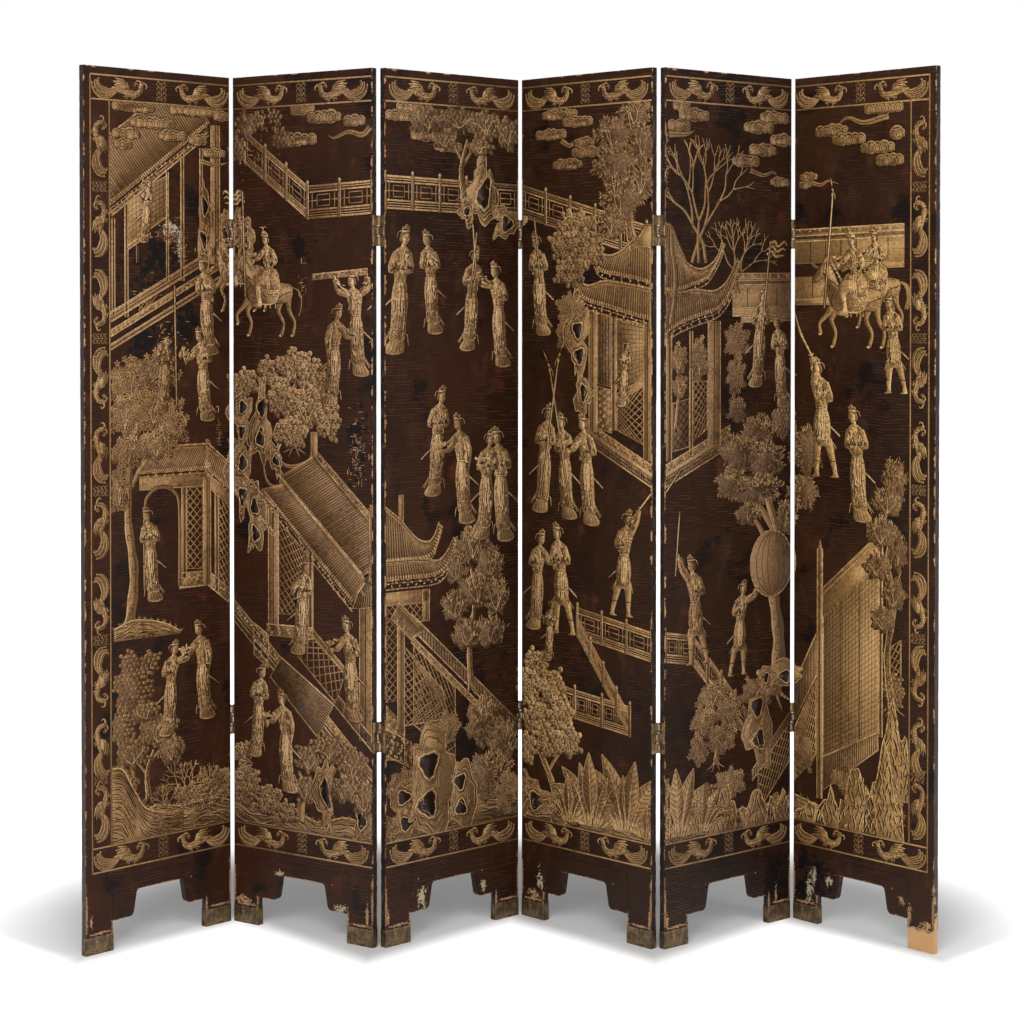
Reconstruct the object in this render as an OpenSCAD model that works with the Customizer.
// Six-panel folding screen of lacquered wood, standing in a zigzag.
// Each panel is a wooden core of stiles, rails and boards between two coats of lacquered
// ground, on legs shod with brass. Double-acting brass hinges of three bands join the panels.
// Frame: X to the right, Y away from the viewer, Z up; the fronts of the panels face -Y.
// Origin: middle of the floor area that the standing screen covers. Lengths in millimetres.

/* [Panels] */
// Height of a panel from the floor to its top edge
panel_h = 2000; // [1650:10:2400]
// Width of a panel across its face
panel_w = 414; // [345:1:500]
// Thickness of the wooden core
core_t = 12; // [10:0.5:18]
// Thickness of the lacquered ground on each face
coat_t = 2; // [1.5:0.1:3]

/* [Joinery] */
// Width of a stile, which runs down as the leg
stile_w = 74; // [55:1:90]
// Height of the top rail
top_rail_h = 56; // [40:1:80]
// Height of the bottom rail
bottom_rail_h = 62; // [45:1:90]
// Number of boards between the stiles
board_count = 4; // [2:1:6]
// Thickness of tenons and board tongues
tenon_t = 4; // [3:0.5:5]
// Length of the tenons on the rails and the apron
tenon_l = 26; // [15:1:36]
// Length of the tongues on the board ends
tongue_l = 8; // [5:1:12]
// Step from the edge of a rail or the apron to the edge of its tenon
tenon_shoulder = 10; // [6:1:14]
// Glue line left between the wooden pieces
glue_gap = 0.25; // [0.2:0.05:0.4]

/* [Apron] */
// Height of the apron's top edge above the floor
apron_top = 162; // [145:1:200]
// Height of the underside of the brackets above the floor
bracket_bottom = 67; // [50:1:80]
// Height of the flat top of the arch above the floor
arch_top = 127; // [105:1:140]
// Width of the arch between the bracket tips
arch_w = 154; // [120:1:185]
// Distance that each side of the arch leans in on its way up
arch_lean = 11; // [6:1:16]
// Radius of the bracket tips
tip_r = 14; // [8:1:18]
// Radius of the upper corners of the arch
arch_r = 10; // [6:1:14]
// Width of the cracks that opened in the coats along the apron's joints
crack_w = 0.8; // [0.4:0.1:1.5]
// Depth of those cracks
crack_d = 1; // [0.5:0.1:1.4]

/* [Feet] */
// Height of a brass foot cap
cap_h = 40; // [30:1:50]
// Wall of a foot cap
cap_wall = 1; // [0.8:0.1:1.4]
// Outer radius of the foot cap's upright edges
cap_r = 1.6; // [1.1:0.1:2.5]
// Height to which the coats are lost on the leg that has no cap
bare_h = 47; // [42:1:60]

/* [Hinges] */
// Height of a hinge over its three bands
hinge_h = 70; // [56:1:84]
// Distance from the top edge down to the middle of the upper hinge
upper_hinge_drop = 368; // [250:1:500]
// Height of the middle of the lower hinge above the floor
lower_hinge_z = 480; // [400:1:580]
// Thickness of a leaf plate on the panel's edge
leaf_t = 1.8; // [1.4:0.1:2.4]
// Diameter of the hinge pins
pin_d = 2.4; // [2:0.1:3]
// Brass around a pin in the knuckles and the eyes
eye_wall = 1.1; // [0.9:0.1:1.4]
// Thickness of a link plate
link_t = 2; // [1.5:0.1:2.4]
// Space between an eye and the full height of its link plate
link_step = 1.4; // [1.2:0.1:2]
// Space between a link's eye and the leaf plate
eye_clear = 0.4; // [0.3:0.05:0.7]
// Height of each knuckle of a leaf
knuckle_h = 4.8; // [4:0.1:5.8]
// Space between a knuckle and an eye along the pin
axial_gap = 0.3; // [0.2:0.05:0.5]
// Space from a band's edge to its first knuckle
band_margin = 0.55; // [0.4:0.05:0.8]
// Distance between the two front pins when the panels lie in one plane
pin_pitch = 4; // [3.2:0.1:5]
// Space around a pin in the knuckles that hold it
pin_fit = 0.03; // [0.02:0.01:0.05]
// Space around a pin in the eyes that turn on it
eye_fit = 0.08; // [0.05:0.01:0.1]

/* [Folding] */
// Direction of panel 1, turned from X towards Y
angle_1 = 46; // [30:1:60]
// Direction of panel 2
angle_2 = -34; // [-60:1:-25]
// Direction of panel 3
angle_3 = 43; // [30:1:60]
// Direction of panel 4
angle_4 = -45; // [-60:1:-30]
// Direction of panel 5
angle_5 = 40; // [30:1:60]
// Direction of panel 6
angle_6 = -48; // [-60:1:-30]

/* [Hidden] */
$fn = 48;
arc_steps = 8;

// Colours of the finishes
wood_colour = "#b98a5a";
lacquer_colour = "#3a2620";
brass_colour = "#6e6544";

// Panels
angles = [angle_1, angle_2, angle_3, angle_4, angle_5, angle_6];
last = len(angles) - 1;
panel_t = core_t + 2 * coat_t;
cap_floor = cap_wall;
inner_w = panel_w - 2 * stile_w;
board_z = apron_top + bottom_rail_h;
board_w = (inner_w - (board_count + 1) * glue_gap) / board_count;

// Hinges: places of the pin axes from the panel's edge and from its middle plane
eye_r = pin_d / 2 + eye_wall;
pin_x = leaf_t + eye_clear + eye_r;
pin_y = panel_t / 2 + cap_wall;
band_h = hinge_h / 3;
eye_h = band_h - 2 * (band_margin + knuckle_h + axial_gap);
knuckle_z = eye_h / 2 + axial_gap + knuckle_h / 2;
pin_l = band_h - 2 * band_margin;
link_l = norm([2 * pin_y, pin_pitch]);
hinge_z = [lower_hinge_z, panel_h - upper_hinge_drop];

// Where the bare leg's coats broke off, from its inner edge to its outer edge
bare_edge = [[0, 0], [0.22, 5], [0.4, -3], [0.62, 4], [0.8, -2], [1, 7]];

function turned(p, a) = [p.x * cos(a) - p.y * sin(a), p.x * sin(a) + p.y * cos(a)];
function unit(v) = v / norm(v);

// The fold between panels i and i + 1: negative where their fronts close on each other.
function turn(i) = angles[i + 1] - angles[i];
function is_valley(i) = turn(i) < 0;

// Two equal panel edges and two equal crossed links form a linkage whose pins stand at the
// corners of an isosceles trapezoid: this is its short side, between the two nearest pins.
function near_gap(i) =
    let (rise = 2 * pin_y * sin(abs(turn(i)) / 2))
    norm([rise, pin_pitch]) - rise;

function near_y(i) = is_valley(i) ? -pin_y : pin_y;

// Place of panel i's left edge in the chain, before the chain is centred
function chain(i) =
    i == 0 ? [0, 0] :
    chain(i - 1)
    + turned([panel_w + pin_x, near_y(i - 1)], angles[i - 1])
    + turned([near_gap(i - 1), 0], (angles[i - 1] + angles[i]) / 2)
    - turned([-pin_x, near_y(i - 1)], angles[i]);

// Outermost points of the plan: the corners of the shod feet and the rims of the eyes
function foot_corners(i) =
    let (out = i == last ? 0 : cap_wall)
    [for (x = [-cap_wall, panel_w + out])
        for (y = [-1, 1])
            chain(i) + turned([x, y * (panel_t / 2 + (x > 0 ? out : cap_wall))], angles[i])];
function eye_rims(i) =
    [for (y = [-pin_y, pin_y])
        for (out = [[-eye_r, 0], [eye_r, 0], [0, -eye_r], [0, eye_r]])
            chain(i) + turned([panel_w + pin_x, y], angles[i]) + out];
plan = [
    for (i = [0 : last])
        each foot_corners(i),
    for (i = [0 : last - 1])
        each eye_rims(i)
];
plan_x = [for (p = plan) p.x];
plan_y = [for (p = plan) p.y];
centre = [min(plan_x) + max(plan_x), min(plan_y) + max(plan_y)] / 2;

function panel_at(i) = chain(i) - centre;
function right_pin(i, y) = panel_at(i) + turned([panel_w + pin_x, y], angles[i]);
function left_pin(i, y) = panel_at(i) + turned([-pin_x, y], angles[i]);

// Arc of radius r that rounds the corner b between the points a and c
function rounded(a, b, c, r) =
    let (u = unit(a - b),
         v = unit(c - b),
         half = acos(u * v) / 2,
         hub = b + unit(u + v) * r / sin(half),
         from = b + u * r / tan(half) - hub,
         to = b + v * r / tan(half) - hub,
         start = atan2(from.y, from.x),
         sweep = (atan2(to.y, to.x) - start + 540) % 360 - 180)
    [for (k = [0 : arc_steps])
        hub + r * [cos(start + sweep * k / arc_steps), sin(start + sweep * k / arc_steps)]];

// Underside of the apron from the left leg to the right leg, as points of the face (x, z)
function arch_points() =
    let (mid = panel_w / 2,
         foot = arch_w / 2,
         head = foot - arch_lean,
         leg = [stile_w, bracket_bottom],
         tip = [mid - foot, bracket_bottom],
         shoulder = [mid - head, arch_top],
         half_arch = concat([leg],
                            rounded(leg, tip, shoulder, tip_r),
                            rounded(tip, shoulder, [mid, arch_top], arch_r)))
    concat(half_arch,
           [for (k = [len(half_arch) - 1 : -1 : 0]) [panel_w - half_arch[k].x, half_arch[k].y]]);

// Draws its children in the frame of panel i: x along its width, -y to its front
module on_panel(i) {
    translate(concat(panel_at(i), 0))
        rotate(angles[i])
            children();
}

// Slab of thickness t whose outline lies in the plane of the face, from y_front backwards
module upright(t, y_front) {
    translate([0, y_front + t, 0])
        rotate([90, 0, 0])
            linear_extrude(t)
                children();
}

// Tenon pocket or tenon between two heights, from x over the length l
module tenon(x, l, z_low, z_high, t) {
    translate([x, -t / 2, z_low])
        cube([l, t, z_high - z_low]);
}

module mortises() {
    room = tenon_l + 2 * glue_gap;
    spans = [[bracket_bottom, apron_top],
             [apron_top, apron_top + bottom_rail_h],
             [panel_h - top_rail_h, panel_h]];
    for (span = spans)
        tenon(stile_w - room, 2 * room,
              span[0] + tenon_shoulder - glue_gap, span[1] - tenon_shoulder + glue_gap,
              tenon_t + 2 * glue_gap);
}

module stile() {
    difference() {
        translate([0, -core_t / 2, cap_floor])
            cube([stile_w, core_t, panel_h - cap_floor]);
        mortises();
    }
}

// Rail between two heights, with the groove for the board tongues in one edge
module rail(z_low, z_high, groove_z) {
    difference() {
        union() {
            translate([stile_w + glue_gap, -core_t / 2, z_low])
                cube([inner_w - 2 * glue_gap, core_t, z_high - z_low]);
            tenon(stile_w - tenon_l, inner_w + 2 * tenon_l,
                  z_low + tenon_shoulder, z_high - tenon_shoulder, tenon_t);
        }
        tenon(stile_w, inner_w, groove_z - tongue_l - glue_gap, groove_z + tongue_l + glue_gap,
              tenon_t + 2 * glue_gap);
    }
}

module panel_frame(i) {
    color(wood_colour)
        on_panel(i) {
            stile();
            translate([panel_w, 0, 0])
                mirror([1, 0, 0])
                    stile();
            rail(apron_top, board_z, board_z);
            rail(panel_h - top_rail_h, panel_h, panel_h - top_rail_h);
        }
}

module board(k) {
    x = stile_w + glue_gap + k * (board_w + glue_gap);
    z_low = board_z + glue_gap;
    z_high = panel_h - top_rail_h - glue_gap;
    translate([x, -core_t / 2, z_low])
        cube([board_w, core_t, z_high - z_low]);
    tenon(x, board_w, z_low - tongue_l, z_high + tongue_l, tenon_t);
}

module panel_boards(i) {
    color(wood_colour)
        on_panel(i)
            for (k = [0 : board_count - 1])
                board(k);
}

// The apron hangs between the legs; its brackets turn down beside them.
module panel_apron(i) {
    top = apron_top - crack_w;
    root = 2 * tenon_t;
    arch = arch_points();
    inset = [for (p = arch) [min(max(p.x, stile_w + glue_gap), panel_w - stile_w - glue_gap), p.y]];
    color(wood_colour)
        on_panel(i) {
            upright(core_t, -core_t / 2)
                polygon(concat(inset, [[panel_w - stile_w - glue_gap, top],
                                       [stile_w + glue_gap, top]]));
            for (x = [stile_w - tenon_l, panel_w - stile_w - root])
                tenon(x, tenon_l + root, bracket_bottom + tenon_shoulder,
                      apron_top - tenon_shoulder, tenon_t);
        }
}

// Outline of a coat: the whole face, with the arch and, on the bare leg, the broken edge
module coat_outline(bare) {
    broken = [for (p = bare_edge) [panel_w - stile_w + p.x * stile_w, bare_h + p.y]];
    shod = [[panel_w - stile_w, cap_floor], [panel_w, cap_floor]];
    polygon(concat([[0, cap_floor], [stile_w, cap_floor]],
                   arch_points(),
                   bare ? broken : shod,
                   [[panel_w, panel_h], [0, panel_h]]));
}

// Cracks along the joints of the apron, cut from the plane y inwards on both sides of it
module apron_cracks(y) {
    for (x = [stile_w, panel_w - stile_w])
        translate([x - crack_w / 2, y - crack_d, bracket_bottom - 1])
            cube([crack_w, 2 * crack_d, apron_top - bracket_bottom + 1]);
    translate([stile_w - crack_w / 2, y - crack_d, apron_top - crack_w])
        cube([inner_w + crack_w, 2 * crack_d, crack_w]);
}

module panel_lacquer(i) {
    color(lacquer_colour)
        on_panel(i)
            for (y = [-panel_t / 2, core_t / 2])
                difference() {
                    upright(coat_t, y)
                        coat_outline(i == last);
                    apron_cracks(sign(y) * panel_t / 2);
                }
}

module foot_cap() {
    out = [[-cap_wall, -panel_t / 2 - cap_wall],
           [stile_w + cap_wall, -panel_t / 2 - cap_wall],
           [stile_w + cap_wall, panel_t / 2 + cap_wall],
           [-cap_wall, panel_t / 2 + cap_wall]];
    difference() {
        linear_extrude(cap_h)
            polygon([for (k = [0 : 3])
                each rounded(out[(k + 3) % 4], out[k], out[(k + 1) % 4], cap_r)]);
        translate([0, -panel_t / 2, cap_floor])
            cube([stile_w, panel_t, cap_h]);
    }
}

// The last panel lost the cap of its outer foot.
module panel_foot_caps(i) {
    color(brass_colour)
        on_panel(i) {
            foot_cap();
            if (i < last)
                translate([panel_w - stile_w, 0, 0])
                    foot_cap();
        }
}

// Two knuckles that hold one pin, with the straps that tie them to the leaf plate; side is
// -1 for a pin at the plate's front edge and 1 for one at its back edge.
module knuckles(z, side) {
    for (dz = [-knuckle_z, knuckle_z])
        translate([pin_x, side * pin_y, z + dz])
            difference() {
                union() {
                    cylinder(h = knuckle_h, r = eye_r, center = true);
                    translate([-pin_x, side < 0 ? 0 : -link_t, -knuckle_h / 2])
                        cube([pin_x, link_t, knuckle_h]);
                }
                cylinder(h = knuckle_h + 2, r = pin_d / 2 + pin_fit, center = true);
            }
}

// Leaf on a panel's right edge: front pins in the outer bands, back pin in the middle band.
// The same leaf turned half round fits the left edge of the next panel.
module leaf() {
    translate([0, -panel_t / 2, -hinge_h / 2])
        cube([leaf_t, panel_t, hinge_h]);
    knuckles(-band_h, -1);
    knuckles(band_h, -1);
    knuckles(0, 1);
}

// Link from the origin along +X: an eye at each end and a plate as high as the band between
module link() {
    reach = eye_r + link_step;
    difference() {
        union() {
            cylinder(h = eye_h, r = eye_r, center = true);
            translate([link_l, 0, 0])
                cylinder(h = eye_h, r = eye_r, center = true);
            translate([0, -link_t / 2, -eye_h / 2])
                cube([link_l, link_t, eye_h]);
            translate([reach, -link_t / 2, -pin_l / 2])
                cube([link_l - 2 * reach, link_t, pin_l]);
        }
        for (x = [0, link_l])
            translate([x, 0, 0])
                cylinder(h = eye_h + 2, r = pin_d / 2 + eye_fit, center = true);
    }
}

// Link laid from pin p to pin q of a fold
module link_between(p, q, z) {
    way = q - p;
    translate(concat(p, z))
        rotate(atan2(way.y, way.x))
            link();
}

module left_leaves(i) {
    color(brass_colour)
        on_panel(i)
            for (z = hinge_z)
                translate([panel_w, 0, z])
                    leaf();
}

module right_leaves(i) {
    color(brass_colour)
        on_panel(i + 1)
            for (z = hinge_z)
                translate([0, 0, z])
                    rotate(180)
                        leaf();
}

module outer_links(i) {
    color(brass_colour)
        for (z = hinge_z)
            for (dz = [-band_h, band_h])
                link_between(right_pin(i, -pin_y), left_pin(i + 1, pin_y), z + dz);
}

module middle_links(i) {
    color(brass_colour)
        for (z = hinge_z)
            link_between(right_pin(i, pin_y), left_pin(i + 1, -pin_y), z);
}

module whole_pin(p, z) {
    translate(concat(p, z))
        cylinder(h = pin_l, d = pin_d, center = true);
}

// The two ends of a cut pin, one in each knuckle
module pin_ends(p, z) {
    for (dz = [-knuckle_z, knuckle_z])
        translate(concat(p, z + dz))
            cylinder(h = knuckle_h, d = pin_d, center = true);
}

// The middle of a cut pin, in the link's eye
module pin_middle(p, z) {
    translate(concat(p, z))
        cylinder(h = eye_h, d = pin_d, center = true);
}

// Each fold turns on the pins of its outer links on the side that closes. The middle link's
// pin on that side is cut between eye and knuckles, which is where the linkage is open.
module left_pins(i) {
    color(brass_colour)
        for (z = hinge_z) {
            for (dz = [-band_h, band_h])
                whole_pin(right_pin(i, -pin_y), z + dz);
            if (is_valley(i)) {
                whole_pin(right_pin(i, pin_y), z);
                pin_middle(left_pin(i + 1, -pin_y), z);
            } else {
                pin_ends(right_pin(i, pin_y), z);
            }
        }
}

module right_pins(i) {
    color(brass_colour)
        for (z = hinge_z) {
            for (dz = [-band_h, band_h])
                whole_pin(left_pin(i + 1, pin_y), z + dz);
            if (is_valley(i)) {
                pin_ends(left_pin(i + 1, -pin_y), z);
            } else {
                whole_pin(left_pin(i + 1, -pin_y), z);
                pin_middle(right_pin(i, pin_y), z);
            }
        }
}

for (i = [0 : last]) {
    panel_frame(i);
    panel_boards(i);
    panel_apron(i);
    panel_lacquer(i);
    panel_foot_caps(i);
}
for (i = [0 : last - 1]) {
    left_leaves(i);
    right_leaves(i);
    outer_links(i);
    middle_links(i);
    left_pins(i);
    right_pins(i);
}
